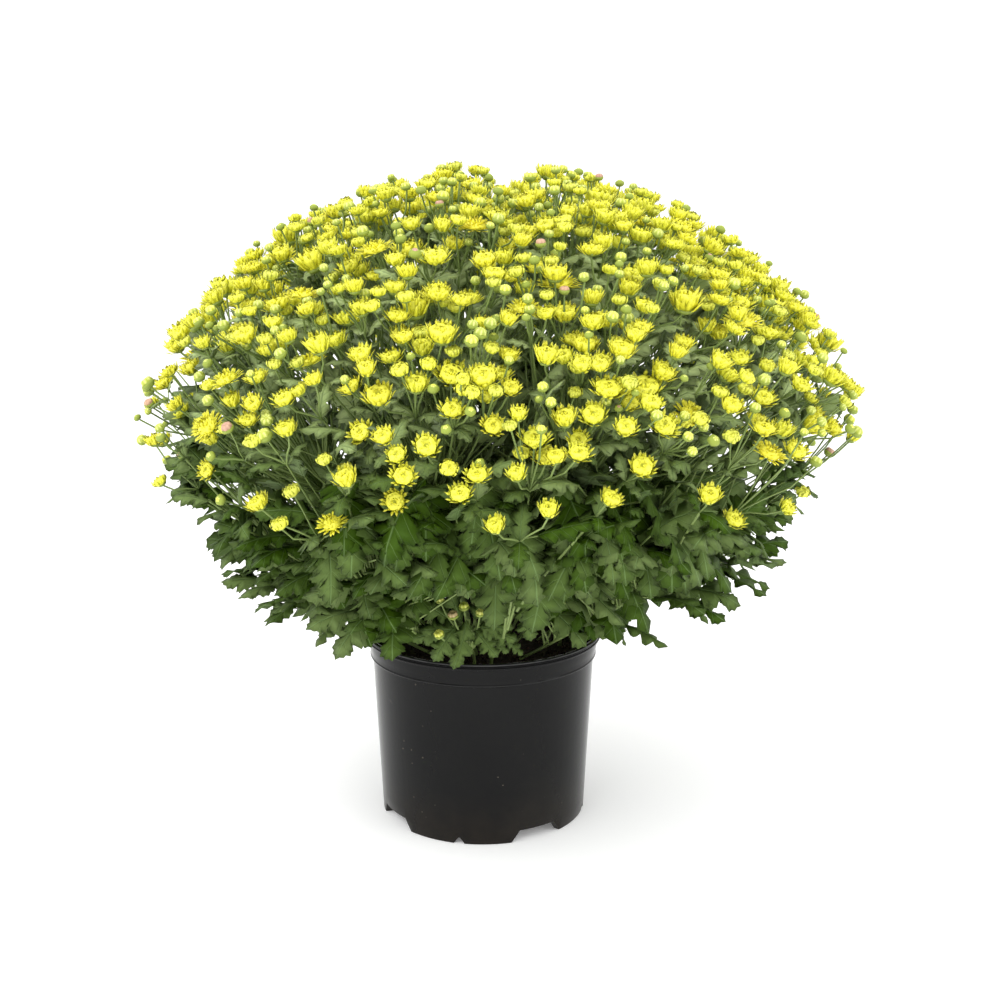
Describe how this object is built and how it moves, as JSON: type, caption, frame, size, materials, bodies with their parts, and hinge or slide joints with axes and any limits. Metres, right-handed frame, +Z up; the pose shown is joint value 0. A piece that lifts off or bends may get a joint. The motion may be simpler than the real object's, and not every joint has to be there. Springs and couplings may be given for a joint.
{
  "type": "pot chrysanthemum",
  "caption": "Round bushy yellow pot chrysanthemum: half-open blooms and buds on stalks over lobed green leaves, in a plain black plastic nursery pot with notched feet",
  "frame": {"origin": "the centre of the bounding box in X and Y, on the ground the pot stands on", "axes": "+Z up, +X to the right and -Y toward the viewer of the front; the pot's own axis is 15 mm to the left of the origin"},
  "size_m": [0.589, 0.5884, 0.5453],
  "materials": {
    "black_plastic": "satin",
    "soil": "matte",
    "foliage": "matte",
    "flowers": "matte"
  },
  "bodies": {
    "root": {"pot": "black_plastic", "potting_soil": "soil", "leafy_stem_01": "foliage", "leafy_stem_02": "foliage", "leafy_stem_03": "foliage", "leafy_stem_04": "foliage", "leafy_stem_05": "foliage", "leafy_stem_06": "foliage", "leafy_stem_07": "foliage", "leafy_stem_08": "foliage", "leafy_stem_09": "foliage", "leafy_stem_10": "foliage", "leafy_stem_11": "foliage", "leafy_stem_12": "foliage", "leafy_stem_13": "foliage", "leafy_stem_14": "foliage", "leafy_stem_15": "foliage", "leafy_stem_16": "foliage", "leafy_stem_17": "foliage", "leafy_stem_18": "foliage", "leafy_stem_19": "foliage", "leafy_stem_20": "foliage", "leafy_stem_21": "foliage", "leafy_stem_22": "foliage", "leafy_stem_23": "foliage", "leafy_stem_24": "foliage", "leafy_stem_25": "foliage", "leafy_stem_26": "foliage", "leafy_stem_27": "foliage", "leafy_stem_28": "foliage", "spray_01": "flowers", "spray_02": "flowers", "spray_03": "flowers", "spray_04": "flowers", "spray_05": "flowers", "spray_06": "flowers", "spray_07": "flowers", "spray_08": "flowers", "spray_09": "flowers", "spray_10": "flowers", "spray_11": "flowers", "spray_12": "flowers", "spray_13": "flowers", "spray_14": "flowers", "spray_15": "flowers", "spray_16": "flowers", "spray_17": "flowers", "spray_18": "flowers", "spray_19": "flowers", "spray_20": "flowers", "spray_21": "flowers", "spray_22": "flowers", "spray_23": "flowers", "spray_24": "flowers", "spray_25": "flowers", "spray_26": "flowers", "spray_27": "flowers", "spray_28": "flowers", "front_shoot": "foliage", "right_shoot": "foliage"}
  },
  "joints": []
}
